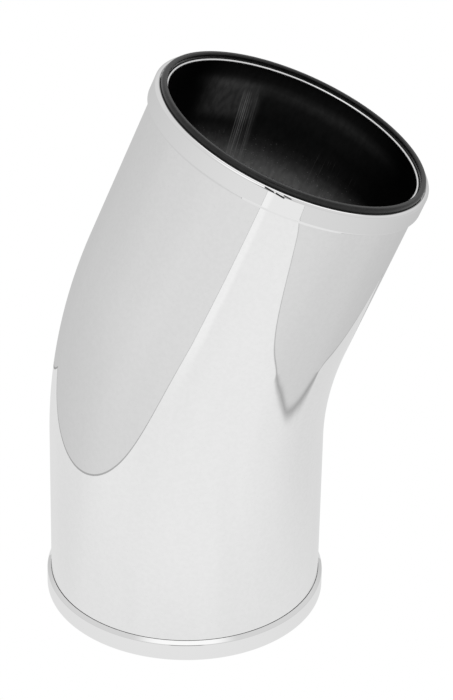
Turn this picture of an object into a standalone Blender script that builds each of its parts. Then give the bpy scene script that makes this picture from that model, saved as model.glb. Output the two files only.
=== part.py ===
"""Double-wall flue elbow: a polished bent casing round a bent liner, with a collar and a seal at each end.

Units are metres. The elbow stands on its lower end, its pipe bends towards +X, and the XZ plane
divides it into two like halves. The origin is at the middle of its base.
"""

from math import cos, pi, radians, sin

import bmesh
import bpy
from mathutils import Matrix, Vector

MM = 0.001

# Driving dimensions of the pipe's route, along its centreline.
LEG_LENGTH = 108 * MM
BEND_RADIUS = 256 * MM
BEND_ANGLE = radians(21.5)

# The two walls. A 150 mm bore is the nominal size of the flue.
BORE_RADIUS = 75 * MM
LINER_WALL = 1.2 * MM
CASING_RADIUS = 80.5 * MM
CASING_WALL = 1 * MM

# Pieces that touch in the real elbow are drawn this far apart.
CLEARANCE = 0.3 * MM

COLLAR_RADIUS = 83 * MM
COLLAR_BAND = 11.4 * MM
COLLAR_SHOULDER = 2 * MM
COLLAR_LIP = 1.2 * MM
COLLAR_LIP_RADIUS = 80.2 * MM
COLLAR_ROUNDING = 1.4 * MM
SMALL_ROUNDING = 0.4 * MM

SEAL_PROUD = 3.4 * MM
SEAL_ROUNDING = 1.4 * MM
SEAL_DEPTH = 9 * MM
LOWER_SEAL_SETBACK = 3 * MM
LINER_SETBACK = 2 * MM
LINER_PROUD = 0.4 * MM

SPACERS_ROUND_PIPE = 3
SPACER_SHEET = 0.5 * MM
SPACER_FOOT = 7 * MM
SPACER_CROWN = 9 * MM
SPACER_RAMP = 2.6 * MM
SPACER_END_DISTANCE = 42 * MM

# The faceting: sides round the pipe, steps round the bend, and steps in a rounded corner.
SIDES = 48
BEND_STEPS = 10
CORNER_STEPS = 3

LINER_RADIUS = BORE_RADIUS + LINER_WALL
GAP_INNER_RADIUS = LINER_RADIUS + CLEARANCE
GAP_OUTER_RADIUS = CASING_RADIUS - CASING_WALL - CLEARANCE
CASING_SETBACK = COLLAR_LIP + CLEARANCE
ROUTE_LENGTH = 2 * LEG_LENGTH + BEND_RADIUS * BEND_ANGLE


def route(distance):
    """Centre and tilt of the pipe at a distance along its centreline from the lower end."""
    turned = min(max((distance - LEG_LENGTH) / BEND_RADIUS, 0), BEND_ANGLE)
    centre = Vector((BEND_RADIUS * (1 - cos(turned)), 0, BEND_RADIUS * sin(turned)))
    centre.z += min(distance, LEG_LENGTH)
    beyond = max(distance - LEG_LENGTH - BEND_RADIUS * BEND_ANGLE, 0)
    return centre + beyond * Vector((sin(turned), 0, cos(turned))), turned


def on_pipe(distance, radius, angle):
    """The point at this distance along the pipe, this radius from its centreline and this angle round it."""
    centre, tilt = route(distance)
    outwards = Vector((cos(tilt), 0, -sin(tilt)))
    return centre + radius * (cos(angle) * outwards + sin(angle) * Vector((0, 1, 0)))


def material(name, colour, roughness, metallic):
    made = bpy.data.materials.new(name)
    made.use_nodes = True
    shader = made.node_tree.nodes["Principled BSDF"]
    shader.inputs["Base Color"].default_value = (*colour, 1)
    shader.inputs["Roughness"].default_value = roughness
    shader.inputs["Metallic"].default_value = metallic
    return made


def place(name, bm, parent, finish):
    """Makes an object of the mesh, with round faces shaded smooth up to their real edges."""
    mesh = bpy.data.meshes.new(name)
    bm.to_mesh(mesh)
    bm.free()
    mesh.shade_smooth()
    mesh.set_sharp_from_angle(angle=radians(30))
    mesh.materials.append(finish)
    made = bpy.data.objects.new(name, mesh)
    bpy.context.scene.collection.objects.link(made)
    made.parent = parent
    return made


def add_wall(made, thickness, offset):
    wall = made.modifiers.new("wall", "SOLIDIFY")
    wall.thickness = thickness
    wall.offset = offset
    wall.use_even_offset = True


def end_frame(name, location, tilt, parent):
    """An empty at an end of the pipe, with its +Z into the pipe."""
    made = bpy.data.objects.new(name, None)
    bpy.context.scene.collection.objects.link(made)
    made.location = location
    made.rotation_euler = (0, tilt, 0)
    made.parent = parent
    return made


def pull(bm, hoop, step):
    """Extrudes a hoop of edges straight along step, and gives the hoop at its far end."""
    pulled = bmesh.ops.extrude_edge_only(bm, edges=hoop)["geom"]
    bmesh.ops.translate(bm, verts=[g for g in pulled if isinstance(g, bmesh.types.BMVert)], vec=step)
    return [g for g in pulled if isinstance(g, bmesh.types.BMEdge)]


def bent_tube(name, radius, wall, lower_setback, upper_setback, parent, finish):
    """A hoop pulled up the lower leg, spun round the bend's centre and pulled out along the upper leg."""
    bm = bmesh.new()
    start = Matrix.Translation((0, 0, lower_setback))
    bmesh.ops.create_circle(bm, segments=SIDES, radius=radius, matrix=start)
    bmesh.ops.rotate(bm, verts=bm.verts, matrix=Matrix.Rotation(pi / 2, 3, "Z"))
    hoop = pull(bm, bm.edges[:], Vector((0, 0, LEG_LENGTH - lower_setback)))
    hoop += list({vert for edge in hoop for vert in edge.verts})
    bent = bmesh.ops.spin(
        bm,
        geom=hoop,
        cent=(BEND_RADIUS, 0, LEG_LENGTH),
        axis=(0, 1, 0),
        angle=BEND_ANGLE,
        steps=BEND_STEPS,
    )["geom_last"]
    upper_axis = Vector((sin(BEND_ANGLE), 0, cos(BEND_ANGLE)))
    hoop = [g for g in bent if isinstance(g, bmesh.types.BMEdge)]
    pull(bm, hoop, (LEG_LENGTH - upper_setback) * upper_axis)
    bmesh.ops.recalc_face_normals(bm, faces=bm.faces)
    add_wall(place(name, bm, parent, finish), wall, offset=-1)


def rounded(corner, radius, start_angle, turn):
    """Points on an arc, as (r, z), that rounds a corner of a profile: corner is the arc's centre."""
    angles = [start_angle + turn * step / CORNER_STEPS for step in range(CORNER_STEPS + 1)]
    return [(corner[0] + radius * cos(a), corner[1] + radius * sin(a)) for a in angles]


def turned_ring(name, profile, parent, finish):
    """A closed profile of (radius, depth) points turned once round the pipe's axis."""
    bm = bmesh.new()
    corners = [bm.verts.new((r, 0, z)) for r, z in profile]
    for first, second in zip(corners, corners[1:] + corners[:1]):
        bm.edges.new((first, second))
    bmesh.ops.spin(
        bm,
        geom=bm.verts[:] + bm.edges[:],
        cent=(0, 0, 0),
        axis=(0, 0, 1),
        angle=2 * pi,
        steps=SIDES,
        use_merge=True,
    )
    bmesh.ops.recalc_face_normals(bm, faces=bm.faces)
    return place(name, bm, parent, finish)


def collar_profile():
    """A band with a rounded outer lip, a chamfered shoulder, and a lip turned in over the casing's end."""
    bore = CASING_RADIUS + CLEARANCE
    height = COLLAR_BAND + COLLAR_SHOULDER
    lip_corner = (COLLAR_RADIUS - COLLAR_ROUNDING, COLLAR_ROUNDING)
    inner_corner = (COLLAR_LIP_RADIUS + SMALL_ROUNDING, SMALL_ROUNDING)
    return [
        *rounded(inner_corner, SMALL_ROUNDING, pi, pi / 2),
        *rounded(lip_corner, COLLAR_ROUNDING, -pi / 2, pi / 2),
        (COLLAR_RADIUS, COLLAR_BAND),
        (bore + SMALL_ROUNDING, height),
        (bore, height),
        (bore, COLLAR_LIP),
        (COLLAR_LIP_RADIUS, COLLAR_LIP),
    ]


def upper_seal_profile():
    """A round-topped head over the casing's end, and a stem down the gap between the two walls."""
    head_radius = COLLAR_LIP_RADIUS - CLEARANCE
    top = SEAL_ROUNDING - SEAL_PROUD
    inner_corner = (GAP_INNER_RADIUS + SEAL_ROUNDING, top)
    outer_corner = (head_radius - SEAL_ROUNDING, top)
    return [
        (GAP_INNER_RADIUS, SEAL_DEPTH),
        *rounded(inner_corner, SEAL_ROUNDING, pi, pi / 2),
        *rounded(outer_corner, SEAL_ROUNDING, -pi / 2, pi / 2),
        (head_radius, CASING_SETBACK - CLEARANCE),
        (GAP_OUTER_RADIUS, CASING_SETBACK - CLEARANCE),
        (GAP_OUTER_RADIUS, SEAL_DEPTH),
    ]


def lower_seal_profile():
    """A plain ring that fills the gap between the two walls, set back from the end."""
    near = LOWER_SEAL_SETBACK + SMALL_ROUNDING
    inner_corner = (GAP_INNER_RADIUS + SMALL_ROUNDING, near)
    outer_corner = (GAP_OUTER_RADIUS - SMALL_ROUNDING, near)
    return [
        (GAP_INNER_RADIUS, LOWER_SEAL_SETBACK + SEAL_DEPTH),
        *rounded(inner_corner, SMALL_ROUNDING, pi, pi / 2),
        *rounded(outer_corner, SMALL_ROUNDING, -pi / 2, pi / 2),
        (GAP_OUTER_RADIUS, LOWER_SEAL_SETBACK + SEAL_DEPTH),
    ]


def spacer(name, middle, angle, parent, finish):
    """A hat-shaped strip along the pipe: two feet on the liner and a crown that bears on the casing."""
    crown_radius = GAP_OUTER_RADIUS - SPACER_SHEET
    half_crown = SPACER_CROWN / 2
    ramp_end = half_crown + SPACER_RAMP
    foot_end = ramp_end + SPACER_FOOT
    half_hat = [(half_crown, crown_radius), (ramp_end, GAP_INNER_RADIUS), (foot_end, GAP_INNER_RADIUS)]
    hat = [(-along, radius) for along, radius in reversed(half_hat)] + half_hat
    bm = bmesh.new()
    rows = [
        [bm.verts.new(on_pipe(middle + along, radius, angle + side * 2 * pi / SIDES)) for along, radius in hat]
        for side in (-1, 0, 1)
    ]
    for near_row, far_row in zip(rows, rows[1:]):
        for i in range(len(hat) - 1):
            bm.faces.new((near_row[i], far_row[i], far_row[i + 1], near_row[i + 1]))
    add_wall(place(name, bm, parent, finish), SPACER_SHEET, offset=1)


def clear_scene():
    for old in list(bpy.data.objects):
        bpy.data.objects.remove(old)


def build():
    clear_scene()
    upper_centre, _ = route(ROUTE_LENGTH)
    lip_centre = COLLAR_RADIUS - COLLAR_ROUNDING
    lip_reach = lip_centre * cos(BEND_ANGLE) - COLLAR_ROUNDING * sin(BEND_ANGLE) + COLLAR_ROUNDING
    rightmost = upper_centre.x + lip_reach
    middle_of_base = (rightmost - COLLAR_RADIUS) / 2

    polished = material("polished_steel", (0.88, 0.88, 0.89), 0.04, 1)
    collar_steel = material("collar_steel", (0.9, 0.9, 0.91), 0.04, 1)
    black_lining = material("black_lining", (0.02, 0.02, 0.021), 0.45, 0.3)
    seal_black = material("seal_black", (0.025, 0.025, 0.027), 0.55, 0)
    strip_steel = material("strip_steel", (0.55, 0.55, 0.56), 0.35, 1)

    lower_end = end_frame("lower_end", (-middle_of_base, 0, 0), 0, None)
    upper_end = end_frame("upper_end", upper_centre, pi + BEND_ANGLE, lower_end)

    bent_tube("outer_casing", CASING_RADIUS, CASING_WALL, CASING_SETBACK, CASING_SETBACK, lower_end, polished)
    bent_tube("inner_liner", LINER_RADIUS, LINER_WALL, LINER_SETBACK, -LINER_PROUD, lower_end, black_lining)
    turned_ring("lower_collar", collar_profile(), lower_end, collar_steel)
    turned_ring("upper_collar", collar_profile(), upper_end, collar_steel)
    turned_ring("lower_seal_ring", lower_seal_profile(), lower_end, seal_black)
    turned_ring("upper_seal_ring", upper_seal_profile(), upper_end, seal_black)

    stations = {
        "lower": SPACER_END_DISTANCE,
        "bend": ROUTE_LENGTH / 2,
        "upper": ROUTE_LENGTH - SPACER_END_DISTANCE,
    }
    for station, middle in stations.items():
        for number in range(SPACERS_ROUND_PIPE):
            angle = pi / 2 + number * 2 * pi / SPACERS_ROUND_PIPE
            spacer(f"{station}_spacer_{number + 1}", middle, angle, lower_end, strip_steel)


build()
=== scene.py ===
"""Double-wall flue elbow, polished outside and black inside, on a plain pale floor.

All sizes are in metres. A point on the elbow is found from its distance along the pipe's route,
its radius from the centreline and its angle round the pipe.
"""

import bpy
import numpy as np
from mathutils import Euler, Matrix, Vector


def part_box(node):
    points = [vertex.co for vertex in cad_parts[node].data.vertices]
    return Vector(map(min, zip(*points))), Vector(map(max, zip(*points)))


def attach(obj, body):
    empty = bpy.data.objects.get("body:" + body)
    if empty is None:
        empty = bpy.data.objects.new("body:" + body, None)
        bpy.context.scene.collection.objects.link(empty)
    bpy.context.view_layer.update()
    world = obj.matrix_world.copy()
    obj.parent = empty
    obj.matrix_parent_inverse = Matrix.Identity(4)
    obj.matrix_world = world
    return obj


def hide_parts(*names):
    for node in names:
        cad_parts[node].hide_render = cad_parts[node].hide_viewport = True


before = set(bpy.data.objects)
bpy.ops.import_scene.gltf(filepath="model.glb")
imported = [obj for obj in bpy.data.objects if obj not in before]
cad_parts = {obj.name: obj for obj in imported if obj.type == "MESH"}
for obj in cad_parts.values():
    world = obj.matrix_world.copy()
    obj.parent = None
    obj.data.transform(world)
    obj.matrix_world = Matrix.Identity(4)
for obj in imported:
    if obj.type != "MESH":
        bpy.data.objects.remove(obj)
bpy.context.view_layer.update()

# ---------------------------------------------------------------------------------------------
# Outer casing. A stainless tube, drawn smooth, bent over a filler and polished to a mirror. Its
# cut ends are hidden under the two collars.
# ---------------------------------------------------------------------------------------------

LEG_LENGTH = 0.108
BEND_RADIUS = 0.256
BEND_ANGLE = np.radians(21.5)
BEND_END = LEG_LENGTH + BEND_RADIUS * BEND_ANGLE
ROUTE_LENGTH = BEND_END + LEG_LENGTH
LOWER_AXIS_X = (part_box("lower_collar")[0].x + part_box("lower_collar")[1].x) / 2

CASING_RADIUS = 0.0805
CASING_WALL = 0.001
CASING_SETBACK = 0.0015
CUT_EDGE = 0.0002
SIDES = 384
BEND_STEPS = 96
ARC_STEPS = 10
FLAT_MARGIN = 0.00005

# A noise seldom leaves this range, so masks and tones are spread over it.
NOISE_RANGE = (0.3, 0.7)
# Where thin lines start on their noise, how far a full share lowers that, and their soft edge.
LINES_START = 0.8
LINES_SHARE = 0.4
LINES_SOFTNESS = 0.08
LINE_DETAIL = 3.0
WAVE_DETAIL = 1.0

POLISH_TONE = 0.95
POLISH_ROUGHNESS = 0.018
LINE_DULLNESS = 0.12
HAIRLINE_SHARE = 0.25
DRAWN_LINES = (1500, 1500, 20)
DRAWN_WAVES = (45, 45, 4)
DRAWN_HEIGHT = 0.00004
HAZE_SCALE = 420.0
HAZE_DETAIL = 4.0
HAZE_DEPTH = 0.012
STREAK_DEPTH = 0.012


def on_pipe(distance, radius, angle):
    """Point at a distance along the route, a radius from its centreline and an angle round it.

    The tilt is the distance past the lower leg over the bend's radius, held between nought and
    the bend's angle. The centre's x is bend radius times one less the tilt's cosine, its z is
    bend radius times the sine, and each straight leg adds its own length along its own axis. The
    point is the centre, plus radius times the cosine of the angle outwards in the bend's plane,
    plus radius times the sine of the angle along Y.
    """
    tilt = np.clip((distance - LEG_LENGTH) / BEND_RADIUS, 0, BEND_ANGLE)
    beyond = np.maximum(distance - BEND_END, 0)
    x = LOWER_AXIS_X + BEND_RADIUS * (1 - np.cos(tilt)) + beyond * np.sin(tilt)
    z = np.minimum(distance, LEG_LENGTH) + BEND_RADIUS * np.sin(tilt) + beyond * np.cos(tilt)
    across = radius * np.cos(angle)
    depth = radius * np.sin(angle) + 0 * distance
    return np.stack([x + across * np.cos(tilt), depth, z - across * np.sin(tilt)], axis=-1)


def outline(corners):
    """Closed section with rounded corners.

    Each corner is given as (distance, radius, reach back, reach ahead). It is a quarter ellipse
    that touches its two sides at the two reaches. Its points are the corner, plus the reach back
    times one less the sine of an even share of a quarter turn, plus the reach ahead times one
    less the cosine. One more point beyond each end keeps the flat side next to it flat when it is
    shaded.
    """
    corners = np.array(corners, float)
    point = corners[:, None, :2]
    reach_back, reach_ahead = corners[:, None, 2:3], corners[:, None, 3:]
    back = np.roll(point, 1, axis=0) - point
    ahead = np.roll(point, -1, axis=0) - point
    back /= np.linalg.norm(back, axis=-1, keepdims=True)
    ahead /= np.linalg.norm(ahead, axis=-1, keepdims=True)
    turn = np.linspace(0, np.pi / 2, ARC_STEPS + 1)[None, :, None]
    arc = point + back * reach_back * (1 - np.sin(turn))
    arc = arc + ahead * reach_ahead * (1 - np.cos(turn))
    before = point + back * (reach_back + FLAT_MARGIN)
    after = point + ahead * (reach_ahead + FLAT_MARGIN)
    return np.concatenate([before, arc, after], axis=1).reshape(-1, 2)


def tube_section(corners):
    """Section of a tube's wall, from its four corners.

    They go upper outer, upper inner, lower inner, lower outer. Stops at even distances round the
    bend, and one more beyond each of its ends, are added on both long sides.
    """
    rows = outline(corners).reshape(4, -1, 2)
    step = (BEND_END - LEG_LENGTH) / BEND_STEPS
    stops = np.linspace(LEG_LENGTH - step, BEND_END + step, BEND_STEPS + 3)
    inner_run = np.stack([stops[::-1], np.full_like(stops, corners[1][1])], axis=-1)
    outer_run = np.stack([stops, np.full_like(stops, corners[0][1])], axis=-1)
    return np.concatenate([rows[0], rows[1], inner_run, rows[2], rows[3], outer_run])


def swept_ring(name, section):
    """Closed section carried once round the pipe.

    Row i, column j is the section's corner i at angle 2 pi j / SIDES, placed by on_pipe. The
    attribute "unbent" holds where that point would be if the pipe were straight: radius times
    cosine, radius times sine, and distance. The section's signed area says which way it runs, so
    that the faces point outwards.
    """
    distance, radius = section[:, :1], section[:, 1:]
    ahead = np.roll(section, -1, axis=0)
    area = (section[:, 0] * ahead[:, 1] - section[:, 1] * ahead[:, 0]).sum()
    angle = np.linspace(0, 2 * np.pi, SIDES, endpoint=False)[None, :]
    points = on_pipe(distance, radius, angle).reshape(-1, 3)
    straight = [radius * np.cos(angle), radius * np.sin(angle), distance + 0 * angle]
    unbent = np.stack(straight, axis=-1).reshape(-1, 3)
    row = np.arange(len(section))[:, None] * SIDES
    next_row = np.roll(row, -1, axis=0)
    column = np.arange(SIDES)[None, :]
    next_column = (column + 1) % SIDES
    corners = [row + column, row + next_column, next_row + next_column, next_row + column]
    faces = np.stack(corners[::-1] if area > 0 else corners, axis=-1).reshape(-1, 4)
    mesh = bpy.data.meshes.new(name)
    mesh.vertices.add(len(points))
    mesh.vertices.foreach_set("co", points.astype(np.float32).ravel())
    mesh.loops.add(faces.size)
    mesh.loops.foreach_set("vertex_index", faces.astype(np.int32).ravel())
    mesh.polygons.add(len(faces))
    mesh.polygons.foreach_set("loop_start", np.arange(0, faces.size, 4, dtype=np.int32))
    mesh.update(calc_edges=True)
    mesh.shade_smooth()
    attribute = mesh.attributes.new("unbent", "FLOAT_VECTOR", "POINT")
    attribute.data.foreach_set("vector", unbent.astype(np.float32).ravel())
    made = bpy.data.objects.new(name, mesh)
    bpy.context.scene.collection.objects.link(made)
    return made


def fit_piece(piece, node, material):
    """Gives a piece its material, and lets it stand for its CAD node on the elbow's one body."""
    piece.data.materials.append(material)
    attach(piece, "root")
    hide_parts(node)


def add_node(tree, kind, inputs=None, **settings):
    """Shader node with its settings. Its inputs go by name or number, each a socket or a value."""
    made = tree.nodes.new(kind)
    for key, value in settings.items():
        setattr(made, key, value)
    for key, value in (inputs or {}).items():
        if isinstance(value, bpy.types.NodeSocket):
            tree.links.new(value, made.inputs[key])
        else:
            made.inputs[key].default_value = value
    return made


def math_node(tree, operation, *values):
    """One step of arithmetic on sockets or numbers."""
    return add_node(tree, "ShaderNodeMath", dict(enumerate(values)), operation=operation).outputs[0]


def blended(tree, share, below, above):
    """The value below, turned into the value above by the share."""
    inputs = {"Factor": share, "A": below, "B": above}
    return add_node(tree, "ShaderNodeMix", inputs, data_type="FLOAT").outputs[0]


def noise_at(tree, place, scale, detail, **inputs):
    """Noise between nought and one, read at the place times the scale."""
    inputs = {"Vector": place, "Scale": scale, "Detail": detail, **inputs}
    return add_node(tree, "ShaderNodeTexNoise", inputs).outputs["Fac"]


def straightened(tree):
    """The place that the surface would have if the pipe were straight."""
    return add_node(tree, "ShaderNodeAttribute", attribute_name="unbent").outputs["Vector"]


def fade(tree, value, start, end, low=0.0, high=1.0):
    """Smooth change from low, where the value is at its start, to high at its end."""
    inputs = {"Value": value, "From Min": start, "From Max": end, "To Min": low, "To Max": high}
    return add_node(
        tree, "ShaderNodeMapRange", inputs, interpolation_type="SMOOTHSTEP"
    ).outputs["Result"]


def new_material(name, tone, roughness, metallic):
    """Neutral material with plain shader values, its tree and its Principled shader."""
    material = bpy.data.materials.new(name)
    material.use_nodes = True
    shader = material.node_tree.nodes["Principled BSDF"]
    shader.inputs["Base Color"].default_value = (tone, tone, tone, 1)
    shader.inputs["Roughness"].default_value = roughness
    shader.inputs["Metallic"].default_value = metallic
    return material, material.node_tree, shader


def drawn_marks_group():
    """Marks of drawing, turning or rubbing. Lines are thin, and waves are broad and shallow.

    Both are noise read at the place times a scale, which is small in the direction that the
    marks run in. Share is how much of the surface the lines cover.
    """
    group = bpy.data.node_groups.new("drawn_marks", "ShaderNodeTree")
    sockets = {"Place": "Vector", "Line Scale": "Vector", "Wave Scale": "Vector", "Share": "Float"}
    for name, kind in sockets.items():
        group.interface.new_socket(name, in_out="INPUT", socket_type="NodeSocket" + kind)
    for name in ("Lines", "Waves"):
        group.interface.new_socket(name, in_out="OUTPUT", socket_type="NodeSocketFloat")
    given = add_node(group, "NodeGroupInput").outputs
    put_out = add_node(group, "NodeGroupOutput")
    noise = {}
    for name, detail in (("Line Scale", LINE_DETAIL), ("Wave Scale", WAVE_DETAIL)):
        scaled = add_node(
            group, "ShaderNodeVectorMath", {0: given["Place"], 1: given[name]}, operation="MULTIPLY"
        )
        noise[name] = noise_at(group, scaled.outputs[0], 1.0, detail)
    covered = math_node(group, "MULTIPLY", given["Share"], LINES_SHARE)
    start = math_node(group, "SUBTRACT", LINES_START, covered)
    end = math_node(group, "ADD", start, LINES_SOFTNESS)
    lines = fade(group, noise["Line Scale"], start, end)
    group.links.new(lines, put_out.inputs["Lines"])
    group.links.new(noise["Wave Scale"], put_out.inputs["Waves"])
    return group


drawn_marks = drawn_marks_group()


def add_marks(tree, wave_scale, line_scale=(1, 1, 1), share=0):
    """Places the shared marks in a material, read along the straightened pipe."""
    marks = tree.nodes.new("ShaderNodeGroup")
    marks.node_tree = drawn_marks
    tree.links.new(straightened(tree), marks.inputs["Place"])
    marks.inputs["Line Scale"].default_value = line_scale
    marks.inputs["Wave Scale"].default_value = wave_scale
    marks.inputs["Share"].default_value = share
    return marks.outputs["Lines"], marks.outputs["Waves"]


def polished(name, line_scale, wave_scale, wave_height):
    """Mirror-polished stainless steel. Fine hairlines are duller, and the surface waves a little.

    It gives the waves as well, for a material that has more to show along them.
    """
    material, tree, shader = new_material(name, POLISH_TONE, POLISH_ROUGHNESS, 1)
    lines, waves = add_marks(tree, wave_scale, line_scale, HAIRLINE_SHARE)
    roughness = math_node(tree, "MULTIPLY_ADD", lines, LINE_DULLNESS, POLISH_ROUGHNESS)
    tree.links.new(roughness, shader.inputs["Roughness"])
    bump = add_node(tree, "ShaderNodeBump", {"Height": waves, "Distance": wave_height})
    tree.links.new(bump.outputs[0], shader.inputs["Normal"])
    return material, tree, shader, waves


polished_casing, tree, shader, waves = polished(
    "polished_casing", DRAWN_LINES, DRAWN_WAVES, DRAWN_HEIGHT
)
haze = noise_at(tree, straightened(tree), HAZE_SCALE, HAZE_DETAIL)
hazy = fade(tree, haze, *NOISE_RANGE, POLISH_TONE - HAZE_DEPTH, POLISH_TONE + HAZE_DEPTH)
streaks = fade(tree, waves, *NOISE_RANGE, -STREAK_DEPTH, STREAK_DEPTH)
tree.links.new(math_node(tree, "ADD", hazy, streaks), shader.inputs["Base Color"])
casing_top = ROUTE_LENGTH - CASING_SETBACK
casing = swept_ring(
    "polished_casing",
    tube_section(
        [
            (casing_top, CASING_RADIUS, CUT_EDGE, CUT_EDGE),
            (casing_top, CASING_RADIUS - CASING_WALL, CUT_EDGE, CUT_EDGE),
            (CASING_SETBACK, CASING_RADIUS - CASING_WALL, CUT_EDGE, CUT_EDGE),
            (CASING_SETBACK, CASING_RADIUS, CUT_EDGE, CUT_EDGE),
        ]
    ),
)
fit_piece(casing, "outer_casing", polished_casing)

# ---------------------------------------------------------------------------------------------
# Collars. The same turned steel ring is pressed over each end of the casing. It has a rounded
# outer lip, a chamfered shoulder towards the pipe, and a thin lip turned in over the cut edge.
# ---------------------------------------------------------------------------------------------

COLLAR_RADIUS = 0.083
COLLAR_BAND = 0.0114
COLLAR_HEIGHT = 0.0134
COLLAR_LIP = 0.0012
COLLAR_LIP_RADIUS = 0.0802
LIP_HEIGHT = 0.0012
LIP_WIDTH = 0.0019
LIP_CROWN = 0.0005
PRESSED_GAP = 0.00002
PRESSED_BORE = CASING_RADIUS + PRESSED_GAP
SHOULDER_ROUNDING = 0.0004
SEAM_GAP = 0.00025
SEAM_RADIUS = CASING_RADIUS + SEAM_GAP
SEAM_EDGE = 0.00005
SEAM_DEPTH = 0.001
# Painted shade in the seam against the casing and along the lip's inner edge beside the seal.
SEAM_SHADE_TONE = 0.4
UPPER_LIP_RISE = 0.0004
SMALL_EDGE = 0.0001
TURNED_LINES = (20, 20, 2500)
TURNED_WAVES = (12, 12, 500)
TURNED_HEIGHT = 0.000003
# Three small patches of painted dark reflection on the upper lip, where its base colour goes
# nearly black. Each has its fall in depth per radian, the angles round the pipe that it lies
# between, and its least and greatest depth.
DARK_REFLECTION_PATCHES = (
    (0.006, (np.radians(-105.4), np.radians(-101.0)), (0.0001, 0.0006)),
    (0.012, (np.radians(-100.8), np.radians(-96.6)), (0.0004, 0.0011)),
    (0.006, (np.radians(-97.7), np.radians(-94.0)), (0.0002, 0.0005)),
)
DARK_PATCH_END = np.radians(0.5)
DARK_PATCH_SOFTNESS = 0.00015
DARK_REFLECTION_TONE = 0.03


def at_end(section, upper):
    """Turns a section given as depths from the pipe's end into distances along the route."""
    depth, radius = section[:, 0], section[:, 1]
    return np.stack([ROUTE_LENGTH - depth if upper else depth, radius], axis=-1)


def collar_section(lip_rise):
    """Collar's wall from the lip's outer corner up the outside and back down the bore.

    The lip's inner edge rises by lip_rise past the end of the route.
    """
    return outline(
        [
            (LIP_CROWN - lip_rise, COLLAR_RADIUS, LIP_WIDTH, LIP_HEIGHT),
            (COLLAR_BAND, COLLAR_RADIUS, SHOULDER_ROUNDING, SHOULDER_ROUNDING),
            (COLLAR_HEIGHT, SEAM_RADIUS, SMALL_EDGE, SMALL_EDGE),
            (COLLAR_HEIGHT - SEAM_DEPTH, SEAM_RADIUS, SEAM_EDGE, SEAM_EDGE),
            (COLLAR_HEIGHT - SEAM_DEPTH, PRESSED_BORE, SEAM_EDGE, SEAM_EDGE),
            (COLLAR_LIP, PRESSED_BORE, SMALL_EDGE, SMALL_EDGE),
            (COLLAR_LIP, COLLAR_LIP_RADIUS, SMALL_EDGE, SMALL_EDGE),
            (-lip_rise, COLLAR_LIP_RADIUS, SMALL_EDGE, SMALL_EDGE),
        ]
    )


def window(tree, value, rise, fall):
    """One between the inner ends of rise and fall, and nought beyond their outer ends."""
    return math_node(tree, "MULTIPLY", fade(tree, value, *rise), fade(tree, value, *fall))


def mouth_place(tree):
    """Radius, depth below the pipe's upper end, and angle round the pipe.

    Radius is the length of the straightened place's X and Y, depth is the route's length less its
    Z, and the angle is the arc tangent of Y over X.
    """
    x, y, z = add_node(tree, "ShaderNodeSeparateXYZ", {0: straightened(tree)}).outputs
    flat = add_node(tree, "ShaderNodeCombineXYZ", {0: x, 1: y}).outputs[0]
    radius = add_node(tree, "ShaderNodeVectorMath", {0: flat}, operation="LENGTH").outputs["Value"]
    return radius, math_node(tree, "SUBTRACT", ROUTE_LENGTH, z), math_node(tree, "ARCTAN2", y, x)


turned_collar, tree, shader, _ = polished(
    "turned_collar", TURNED_LINES, TURNED_WAVES, TURNED_HEIGHT
)
radius, depth, angle = mouth_place(tree)
# Painted dark reflection: inside each patch the lip's base colour goes nearly black.
dark_reflected = 0.0
for slope, (start, end), (shallow, deep) in DARK_REFLECTION_PATCHES:
    past_start = math_node(tree, "SUBTRACT", angle, start)
    slid = math_node(tree, "MULTIPLY_ADD", past_start, -slope, depth)
    along = window(tree, angle, (start, start + DARK_PATCH_END), (end, end - DARK_PATCH_END))
    down = window(tree, slid, (shallow - DARK_PATCH_SOFTNESS, shallow), (deep + DARK_PATCH_SOFTNESS, deep))
    dark_reflected = math_node(tree, "MAXIMUM", dark_reflected, math_node(tree, "MULTIPLY", along, down))
collar_tone = math_node(tree, "MULTIPLY_ADD", dark_reflected, DARK_REFLECTION_TONE - POLISH_TONE, POLISH_TONE)
# Painted shade: the collar's faces at or inside the seam's radius are darkened.
in_seam_shade = fade(tree, radius, SEAM_RADIUS + SEAM_EDGE, SEAM_RADIUS)
collar_tone = blended(tree, in_seam_shade, collar_tone, SEAM_SHADE_TONE)
tree.links.new(collar_tone, shader.inputs["Base Color"])
lower_collar = swept_ring("polished_lower_collar", at_end(collar_section(0), upper=False))
upper_collar = swept_ring(
    "polished_upper_collar", at_end(collar_section(UPPER_LIP_RISE), upper=True)
)
fit_piece(lower_collar, "lower_collar", turned_collar)
fit_piece(upper_collar, "upper_collar", turned_collar)

# ---------------------------------------------------------------------------------------------
# Inner liner. A second bent tube that carries the gas. Its bore has a satin black heat-resistant
# coating, scuffed and scratched in places and changing in tone with depth and angle round the
# pipe, and the rolled edge of its upper end is bare metal.
# ---------------------------------------------------------------------------------------------

BORE_RADIUS = 0.075
LINER_RADIUS = 0.0762
LINER_SETBACK = 0.002
LINER_PROUD = 0.0004
ROLLED_WIDTH = 0.00085
ROLLED_HEIGHT = 0.0008
BARE_DEPTH = 0.0005
BARE_SOFTNESS = 0.0001
BARE_TONE = 0.97
BARE_ROUGHNESS = 0.2
LINING_ROUGHNESS = 0.4
LINING_SPECULAR = 0.08
LINING_SCRATCHES = (1300, 1300, 26)
LINING_DUST = (420, 420, 200)
SCRATCHED_SHARE = 0.5
MOTTLE_RANGE = (0.25, 0.75)
MOTTLE = (0.85, 1.15)
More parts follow.
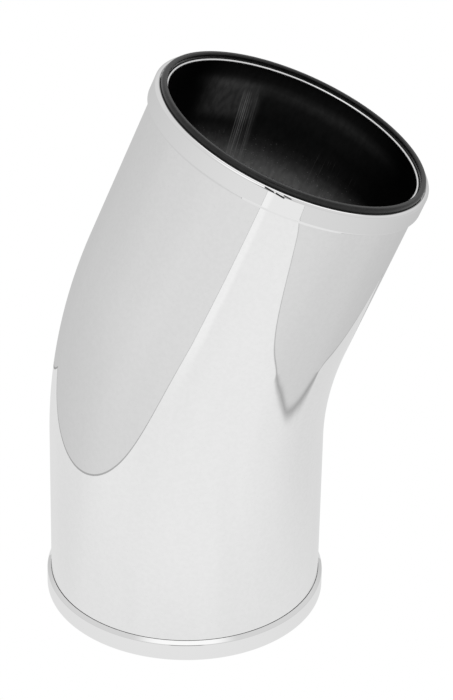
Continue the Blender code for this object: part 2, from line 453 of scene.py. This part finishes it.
# Depth in the mouth and tone of the coating: darkest at the rim, a lighter ring, dark again, then
# a much lighter band from about 50 to 70 mm deep, and dark again further down.
LINING_STOPS = (
    (0.0, 0.004),
    (0.0075, 0.012),
    (0.0125, 0.042),
    (0.018, 0.018),
    (0.03, 0.012),
    (0.041, 0.018),
    (0.047, 0.045),
    (0.052, 0.11),
    (0.0625, 0.36),
    (0.07, 0.3),
    (0.095, 0.02),
)
LINING_DEPTH = 0.1
# The deep region fades in between these depths, and between these angles round the pipe.
DEEP_REGION_STARTS = (0.038, 0.050)
DEEP_REGION_FROM = (np.radians(-10), np.radians(24))
DEEP_REGION_TO = (np.radians(166), np.radians(140))
# The coating keeps its tone only between these angles round the pipe and in the deep region;
# elsewhere it is black.
TONED_FROM = (np.radians(12), np.radians(62))
TONED_TO = (np.radians(136), np.radians(112))
# Each mark fades in and out between its angles round the pipe and between its depths.
SCUFF_TONES = (0.045, 0.075)
SCUFF_FROM = (np.radians(93), np.radians(102))
SCUFF_TO = (np.radians(129), np.radians(114))
SCUFF_DEPTHS = (0.009, 0.015, 0.030, 0.040)
DRAG_TONE = 0.5
DRAG_FROM = (np.radians(92.5), np.radians(99.5))
DRAG_TO = (np.radians(103.2), np.radians(102))
DRAG_DEPTHS = (0.014, 0.024, 0.052, 0.064)
DRAG_SLANT = 1.9
DRAG_MIDDLE = 0.038
DRAG_SCALE = (95.0, 9.0)
DRAG_DETAIL = 4.0
DRAG_ROUGHNESS = 0.7
DRAG_RANGE = (0.46, 0.66)
DRAG_GAPS = 0.04
SPECK_SCALE = 1100.0
SPECK_DETAIL = 1.0
SPECK_RANGE = (0.68, 0.76)
SPECK_TONE = 0.25
FINE_TONE = 0.14
FINE_FROM = (np.radians(36), np.radians(44))
FINE_TO = (np.radians(66), np.radians(54))
FINE_DEPTHS = (0.034, 0.040, 0.054, 0.060)


def patch(tree, place, around_from, around_to, depths):
    """Part of the bore between two angles round the pipe and two depths, with soft edges.

    Place is the depth and the angle. The depths go outer top, inner top, inner foot, outer foot.
    """
    depth, angle = place
    around = window(tree, angle, around_from, around_to)
    down = window(tree, depth, depths[:2], depths[:1:-1])
    return math_node(tree, "MULTIPLY", around, down)


def marked(tree, mask, tones, lining_tone):
    """Adds a mark's own tone to the lining wherever its mask is."""
    return math_node(tree, "MULTIPLY_ADD", mask, tones, lining_tone)


black_lining, tree, shader = new_material(
    "black_lining", LINING_STOPS[0][1], LINING_ROUGHNESS, 0
)
shader.inputs["Specular IOR Level"].default_value = LINING_SPECULAR
scratches, dust = add_marks(tree, LINING_DUST, LINING_SCRATCHES, SCRATCHED_SHARE)
_, depth, angle = mouth_place(tree)

ramp = add_node(tree, "ShaderNodeValToRGB", {0: math_node(tree, "DIVIDE", depth, LINING_DEPTH)})
stops = ramp.color_ramp.elements
for stop, (stop_depth, tone) in enumerate(LINING_STOPS):
    element = stops[stop] if stop < 2 else stops.new(1)
    element.position = stop_depth / LINING_DEPTH
    element.color = (tone, tone, tone, 1)
# The coating's tone follows the ramp by depth, mottled, and is kept only on the toned side and in
# the deep region.
mottled = fade(tree, dust, *MOTTLE_RANGE, *MOTTLE)
past_region_start = fade(tree, depth, *DEEP_REGION_STARTS)
deep_region = math_node(tree, "MULTIPLY", window(tree, angle, DEEP_REGION_FROM, DEEP_REGION_TO), past_region_start)
toned_side = math_node(tree, "MAXIMUM", window(tree, angle, TONED_FROM, TONED_TO), deep_region)
lining_tone = math_node(tree, "MULTIPLY", ramp.outputs[0], mottled)
lining_tone = math_node(tree, "MULTIPLY", lining_tone, toned_side)

scuffed = patch(tree, (depth, angle), SCUFF_FROM, SCUFF_TO, SCUFF_DEPTHS)
scuff_tone = fade(tree, dust, *NOISE_RANGE, *SCUFF_TONES)
lining_tone = marked(tree, scuffed, scuff_tone, lining_tone)

past_middle = math_node(tree, "SUBTRACT", depth, DRAG_MIDDLE)
drag_angle = math_node(tree, "MULTIPLY_ADD", past_middle, DRAG_SLANT, angle)
drag_across = math_node(tree, "MULTIPLY", drag_angle, DRAG_SCALE[0])
drag_down = math_node(tree, "MULTIPLY", depth, DRAG_SCALE[1])
drag_place = add_node(tree, "ShaderNodeCombineXYZ", {0: drag_across, 1: drag_down}).outputs[0]
drag_noise = noise_at(tree, drag_place, 1.0, DRAG_DETAIL, Roughness=DRAG_ROUGHNESS)
dragged = patch(tree, (depth, drag_angle), DRAG_FROM, DRAG_TO, DRAG_DEPTHS)
drag_lines = fade(tree, drag_noise, *DRAG_RANGE, DRAG_GAPS * DRAG_TONE, DRAG_TONE)
lining_tone = marked(tree, dragged, drag_lines, lining_tone)

fine = patch(tree, (depth, angle), FINE_FROM, FINE_TO, FINE_DEPTHS)
fine = math_node(tree, "MULTIPLY", fine, scratches)
lining_tone = marked(tree, fine, FINE_TONE, lining_tone)

speck_noise = noise_at(tree, straightened(tree), SPECK_SCALE, SPECK_DETAIL)
speck_tone = fade(tree, speck_noise, *SPECK_RANGE, 0.0, SPECK_TONE)
lining_tone = marked(tree, deep_region, speck_tone, lining_tone)

bare = fade(tree, depth, BARE_DEPTH + BARE_SOFTNESS, BARE_DEPTH)
roughness = blended(tree, bare, LINING_ROUGHNESS, BARE_ROUGHNESS)
tree.links.new(blended(tree, bare, lining_tone, BARE_TONE), shader.inputs["Base Color"])
tree.links.new(bare, shader.inputs["Metallic"])
tree.links.new(roughness, shader.inputs["Roughness"])

liner = swept_ring(
    "coated_liner",
    tube_section(
        [
            (ROUTE_LENGTH + LINER_PROUD, LINER_RADIUS, CUT_EDGE, CUT_EDGE),
            (ROUTE_LENGTH + LINER_PROUD, BORE_RADIUS, ROLLED_WIDTH, ROLLED_HEIGHT),
            (LINER_SETBACK, BORE_RADIUS, CUT_EDGE, CUT_EDGE),
            (LINER_SETBACK, LINER_RADIUS, CUT_EDGE, CUT_EDGE),
        ]
    ),
)
fit_piece(liner, "inner_liner", black_lining)

# ---------------------------------------------------------------------------------------------
# Seal rings. The upper one is a moulded black ring whose round head stands proud of the collar
# and whose stem fills the gap between the walls. The lower one is set back inside the gap.
# ---------------------------------------------------------------------------------------------

SEAL_INNER_RADIUS = 0.0765
SEAL_OUTER_RADIUS = 0.0792
SEAL_HEAD_RADIUS = 0.0799
SEAL_PROUD = 0.0034
SEAL_HEAD_DEPTH = 0.0012
SEAL_DEPTH = 0.009
SEAL_ROUNDING = 0.0014
SEAL_INNER_ROUNDING = 0.0011
LOWER_SEAL_SETBACK = 0.003
LOWER_SEAL_FOOT = LOWER_SEAL_SETBACK + SEAL_DEPTH
RUBBER_SPECULAR = 0.4
RUBBER_BLOOM = (400, 400, 900)
BLOOM_TONES = (0.006, 0.014)
RUBBER_ROUGHNESS = 0.18
BLOOM_DULLNESS = 0.12

upper_seal_section = outline(
    [
        (-SEAL_PROUD, SEAL_INNER_RADIUS, SEAL_INNER_ROUNDING, SEAL_INNER_ROUNDING),
        (-SEAL_PROUD, SEAL_HEAD_RADIUS, SEAL_ROUNDING, SEAL_ROUNDING),
        (SEAL_HEAD_DEPTH, SEAL_HEAD_RADIUS, SMALL_EDGE, SMALL_EDGE),
        (SEAL_HEAD_DEPTH, SEAL_OUTER_RADIUS, SMALL_EDGE, SMALL_EDGE),
        (SEAL_DEPTH, SEAL_OUTER_RADIUS, SMALL_EDGE, SMALL_EDGE),
        (SEAL_DEPTH, SEAL_INNER_RADIUS, SMALL_EDGE, SMALL_EDGE),
    ]
)
lower_seal_section = outline(
    [
        (LOWER_SEAL_SETBACK, SEAL_INNER_RADIUS, SHOULDER_ROUNDING, SHOULDER_ROUNDING),
        (LOWER_SEAL_SETBACK, SEAL_OUTER_RADIUS, SHOULDER_ROUNDING, SHOULDER_ROUNDING),
        (LOWER_SEAL_FOOT, SEAL_OUTER_RADIUS, SHOULDER_ROUNDING, SHOULDER_ROUNDING),
        (LOWER_SEAL_FOOT, SEAL_INNER_RADIUS, SHOULDER_ROUNDING, SHOULDER_ROUNDING),
    ]
)
seal_rubber, tree, shader = new_material("seal_rubber", BLOOM_TONES[0], RUBBER_ROUGHNESS, 0)
shader.inputs["Specular IOR Level"].default_value = RUBBER_SPECULAR
_, bloom = add_marks(tree, RUBBER_BLOOM)
roughness = math_node(tree, "MULTIPLY_ADD", bloom, BLOOM_DULLNESS, RUBBER_ROUGHNESS)
tree.links.new(fade(tree, bloom, *NOISE_RANGE, *BLOOM_TONES), shader.inputs["Base Color"])
tree.links.new(roughness, shader.inputs["Roughness"])
upper_seal = swept_ring("moulded_upper_seal", at_end(upper_seal_section, upper=True))
lower_seal = swept_ring("moulded_lower_seal", at_end(lower_seal_section, upper=False))
fit_piece(upper_seal, "upper_seal_ring", seal_rubber)
fit_piece(lower_seal, "lower_seal_ring", seal_rubber)

# ---------------------------------------------------------------------------------------------
# Spacers. Hat-shaped strips of plain rolled steel on the liner. They are shut in between the
# walls, so the CAD solids stay and take the finish of the strip.
# ---------------------------------------------------------------------------------------------

STRIP_TONE = 0.55
STRIP_ROUGHNESS = (0.3, 0.42)
GRAIN_SCALE = 900.0
GRAIN_DETAIL = 2.0

strip_steel, tree, shader = new_material("strip_steel", STRIP_TONE, STRIP_ROUGHNESS[0], 1)
place = add_node(tree, "ShaderNodeTexCoord").outputs["Object"]
grain = noise_at(tree, place, GRAIN_SCALE, GRAIN_DETAIL)
tree.links.new(fade(tree, grain, *NOISE_RANGE, *STRIP_ROUGHNESS), shader.inputs["Roughness"])
for name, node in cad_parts.items():
    if "spacer" in name:
        for slot in node.material_slots:
            slot.material = strip_steel

# ---------------------------------------------------------------------------------------------
# Stage. A table top that gives off its own light, painted in tones, and looks plain white to the
# camera. In the polish it shows as a white sheet, whose edges cast a thin painted shadow, on a
# greyer top that darkens towards the back and, with a painted shadow, close to the elbow. Only
# reflections see these.
# ---------------------------------------------------------------------------------------------

FLOOR_HALF = 8.0
FLOOR_Z = -0.0001
DISPLAY_GAMMA = 2.2
SHEET_LEFT = -0.262
SHEET_BACK = 0.26
# The right edge of the sheet, as places along Y and the edge's X there, from front to back.
SHEET_RIGHT = (
    (-0.60, 0.100),
    (-0.52, 0.131),
    (-0.25, 0.1643),
    (-0.20, 0.1706),
    (-0.184, 0.1713),
    (-0.17, 0.1747),
    (-0.13, 0.1844),
    (-0.09, 0.1916),
    (-0.05, 0.1970),
    (-0.02, 0.1987),
    (0.0, 0.1990),
    (0.014, 0.1993),
    (0.023, 0.2041),
    (0.057, 0.2095),
    (0.26, 0.216),
)
LEFT_SWEEP_FROM = -0.5
LEFT_SWEEP = 0.28
EDGE_SHADOW = 0.004
EDGE_SHADOW_TONE = 0.8
RIGHT_SHADOW_THIN = 0.0006
RIGHT_SHADOW_WIDE = 0.0011
RIGHT_SHADOW_TONE = 0.79
# The right edge's shadow is thin at this place along Y, and wide past the second distance from it.
THIN_AT = -0.065
THIN_TO_WIDE = (0.02, 0.07)
LEFT_MARGIN = (0.11, 0.055)
LEFT_MARGIN_FROM = (-0.38, -0.64)
LEFT_MARGIN_GAIN = 9 / 255
SHEET_TONE = 230 / 255
SHEET_BACK_LOSS = 13 / 255
SHEET_SIDE_LOSS = 15 / 255
SHEET_FALL = (-0.2, 0.05)
TABLE_TONE = 208.5 / 255
TABLE_BACK_LOSS = 13 / 255
NEAR_SHADOW_LOSS = 5 / 255
TABLE_RIGHT_LOSS = 4.5 / 255
NEAREST_REACH = 0.1
NEAR_SHADOW_FALL = 1.2

floor_mesh = bpy.data.meshes.new("floor")
corners = [(-1, -1), (1, -1), (1, 1), (-1, 1)]
floor_mesh.from_pydata(
    [(x * FLOOR_HALF, y * FLOOR_HALF, FLOOR_Z) for x, y in corners], [], [(0, 1, 2, 3)]
)
floor = bpy.data.objects.new("floor", floor_mesh)
bpy.context.scene.collection.objects.link(floor)

table_top = bpy.data.materials.new("table_top")
table_top.use_nodes = True
tree = table_top.node_tree
tree.nodes.clear()
place = add_node(tree, "ShaderNodeTexCoord").outputs["Object"]
x, y, _ = add_node(tree, "ShaderNodeSeparateXYZ", {0: place}).outputs

edge_curve = add_node(tree, "ShaderNodeFloatCurve")
edge_points = edge_curve.mapping.curves[0].points
(front, _), (back, _) = SHEET_RIGHT[0], SHEET_RIGHT[-1]
for _ in SHEET_RIGHT[2:]:
    edge_points.new(0.5, 0.5)
for point, (along, across) in zip(edge_points, SHEET_RIGHT):
    point.location = ((along - front) / (back - front), across)
    point.handle_type = "AUTO_CLAMPED"
edge_curve.mapping.update()
edge_range = add_node(
    tree, "ShaderNodeMapRange", {"Value": y, "From Min": front, "From Max": back}
)
tree.links.new(edge_range.outputs["Result"], edge_curve.inputs["Value"])

swept = math_node(tree, "MAXIMUM", math_node(tree, "SUBTRACT", LEFT_SWEEP_FROM, y), 0.0)
swept = math_node(tree, "MULTIPLY", math_node(tree, "POWER", swept, 2.0), LEFT_SWEEP)
past_left = math_node(tree, "ADD", math_node(tree, "SUBTRACT", x, SHEET_LEFT), swept)
past_right = math_node(tree, "SUBTRACT", edge_curve.outputs[0], x)
past_back = math_node(tree, "SUBTRACT", SHEET_BACK, y)
past_others = math_node(tree, "MINIMUM", past_left, past_back)
inside = math_node(tree, "MINIMUM", past_others, past_right)
on_sheet = math_node(tree, "GREATER_THAN", inside, 0.0)

in_shadow = math_node(tree, "COMPARE", past_others, -EDGE_SHADOW / 2, EDGE_SHADOW / 2)
in_shadow = math_node(tree, "MULTIPLY", in_shadow, math_node(tree, "GREATER_THAN", past_right, 0.0))
from_thin = math_node(tree, "ABSOLUTE", math_node(tree, "SUBTRACT", y, THIN_AT))
shadow_width = fade(tree, from_thin, *THIN_TO_WIDE, RIGHT_SHADOW_THIN, RIGHT_SHADOW_WIDE)
from_right = math_node(tree, "POWER", math_node(tree, "DIVIDE", past_right, shadow_width), 2.0)
right_shadow = math_node(tree, "EXPONENT", math_node(tree, "MULTIPLY", from_right, -1.0))
before_back = math_node(tree, "GREATER_THAN", past_back, 0.0)
right_shadow = math_node(tree, "MULTIPLY", right_shadow, before_back)

margin = fade(tree, past_left, *LEFT_MARGIN, 0.0, LEFT_MARGIN_GAIN)
margin = math_node(tree, "MULTIPLY", margin, fade(tree, y, *LEFT_MARGIN_FROM))
fall = fade(tree, y, *SHEET_FALL)
sheet_loss = math_node(tree, "MULTIPLY_ADD", x, SHEET_SIDE_LOSS, SHEET_BACK_LOSS)
sheet_tone = math_node(tree, "SUBTRACT", SHEET_TONE, math_node(tree, "MULTIPLY", fall, sheet_loss))
sheet_tone = math_node(tree, "ADD", sheet_tone, margin)

# Painted shadow: the table's tone drops close to the elbow and fades with distance from it.
reach = add_node(tree, "ShaderNodeVectorMath", {0: place}, operation="LENGTH").outputs["Value"]
reach = math_node(tree, "MAXIMUM", reach, NEAREST_REACH)
rearward = math_node(tree, "DIVIDE", y, reach)
farness = math_node(tree, "MULTIPLY", math_node(tree, "POWER", reach, 2.0), -NEAR_SHADOW_FALL)
near_shadow = math_node(tree, "EXPONENT", farness)
table_tone = math_node(tree, "MULTIPLY_ADD", rearward, -TABLE_BACK_LOSS, TABLE_TONE)
table_tone = math_node(tree, "MULTIPLY_ADD", near_shadow, -NEAR_SHADOW_LOSS, table_tone)
on_right = math_node(tree, "GREATER_THAN", x, 0.0)
table_tone = math_node(tree, "MULTIPLY_ADD", on_right, -TABLE_RIGHT_LOSS, table_tone)

tone = blended(tree, on_sheet, table_tone, sheet_tone)
for shadow, shadow_tone in ((in_shadow, EDGE_SHADOW_TONE), (right_shadow, RIGHT_SHADOW_TONE)):
    shaded = math_node(tree, "MULTIPLY_ADD", shadow, shadow_tone - 1, 1.0)
    tone = math_node(tree, "MULTIPLY", tone, shaded)
# Painted light: the tone is given off as the table's own light to every ray but the camera's, which
# sees plain white.
light = math_node(tree, "DIVIDE", math_node(tree, "POWER", tone, DISPLAY_GAMMA), POLISH_TONE)
light_path = add_node(tree, "ShaderNodeLightPath")
shown = math_node(tree, "MAXIMUM", light_path.outputs["Is Camera Ray"], light)
glow = add_node(tree, "ShaderNodeEmission", {"Strength": shown})
surface = add_node(tree, "ShaderNodeOutputMaterial")
tree.links.new(glow.outputs[0], surface.inputs["Surface"])
floor_mesh.materials.append(table_top)

# ---------------------------------------------------------------------------------------------
# Light. A white tent with two bright panels, one overhead and one high behind on the right, and
# a darker gap in front where its doorway is open.
# ---------------------------------------------------------------------------------------------

HORIZON_LIGHT = 0.58
SIDE_LIGHT = 0.68
TENT_RISE = (0.0, 0.4)
DOOR_SIDES = (0.24, 0.18)
DOOR_TOP = (0.66, 0.6)
DOOR_FRONT = (0.0, -0.1)
DOOR_LOSS = 0.6
# Each panel's direction, light, and the cosines of its outer and inner edges.
PANELS = (
    ((0.0, -0.42, 0.907), 1.0, 0.87, 0.97),
    ((0.45, 0.5, 0.74), 1.1, 0.946, 0.968),
)

world = bpy.data.worlds.new("tent")
bpy.context.scene.world = world
world.use_nodes = True
tree = world.node_tree
direction = add_node(tree, "ShaderNodeTexCoord").outputs["Generated"]
x, y, z = add_node(tree, "ShaderNodeSeparateXYZ", {0: direction}).outputs
tent = fade(tree, z, *TENT_RISE, HORIZON_LIGHT, SIDE_LIGHT)
for facing, panel_light, outer, inner in PANELS:
    turned = add_node(
        tree, "ShaderNodeVectorMath", {0: direction, 1: facing}, operation="DOT_PRODUCT"
    )
    tent = blended(tree, fade(tree, turned.outputs["Value"], outer, inner), tent, panel_light)
off_centre = math_node(tree, "ABSOLUTE", x)
door = math_node(tree, "MULTIPLY", fade(tree, off_centre, *DOOR_SIDES), fade(tree, z, *DOOR_TOP))
door = math_node(tree, "MULTIPLY", door, fade(tree, y, *DOOR_FRONT))
tent = math_node(tree, "MULTIPLY", tent, math_node(tree, "MULTIPLY_ADD", door, -DOOR_LOSS, 1.0))
light_path = add_node(tree, "ShaderNodeLightPath")
shown = math_node(tree, "MAXIMUM", light_path.outputs["Is Camera Ray"], tent)
tree.links.new(shown, tree.nodes["Background"].inputs["Strength"])
tree.nodes["Background"].inputs["Color"].default_value = (1, 1, 1, 1)

# ---------------------------------------------------------------------------------------------
# Camera. It looks down at the elbow from in front, a little to the left of the bend's plane.
# ---------------------------------------------------------------------------------------------

VIEW_ELEVATION = np.radians(30.688)
VIEW_BEARING = np.radians(2.872)
VIEW_ROLL = np.radians(1.185)
VIEW_DISTANCE = 1.71132
VIEW_LENS = 151.94
AIM_RIGHT_OF_AXIS = 0.02258
AIM_HEIGHT = 0.16267

sightline = Euler((np.pi / 2 - VIEW_ELEVATION, 0, -VIEW_BEARING)).to_matrix()
across = Vector((np.cos(VIEW_BEARING), -np.sin(VIEW_BEARING), 0))
aim = Vector((LOWER_AXIS_X, 0, AIM_HEIGHT)) + AIM_RIGHT_OF_AXIS * across
camera_data = bpy.data.cameras.new("camera")
camera_data.lens = VIEW_LENS
camera = bpy.data.objects.new("camera", camera_data)
bpy.context.scene.collection.objects.link(camera)
camera.location = aim + VIEW_DISTANCE * sightline.col[2]
camera.rotation_euler = (sightline @ Euler((0, 0, VIEW_ROLL)).to_matrix()).to_euler()
bpy.context.scene.camera = camera

bpy.context.scene.view_settings.view_transform = "Standard"
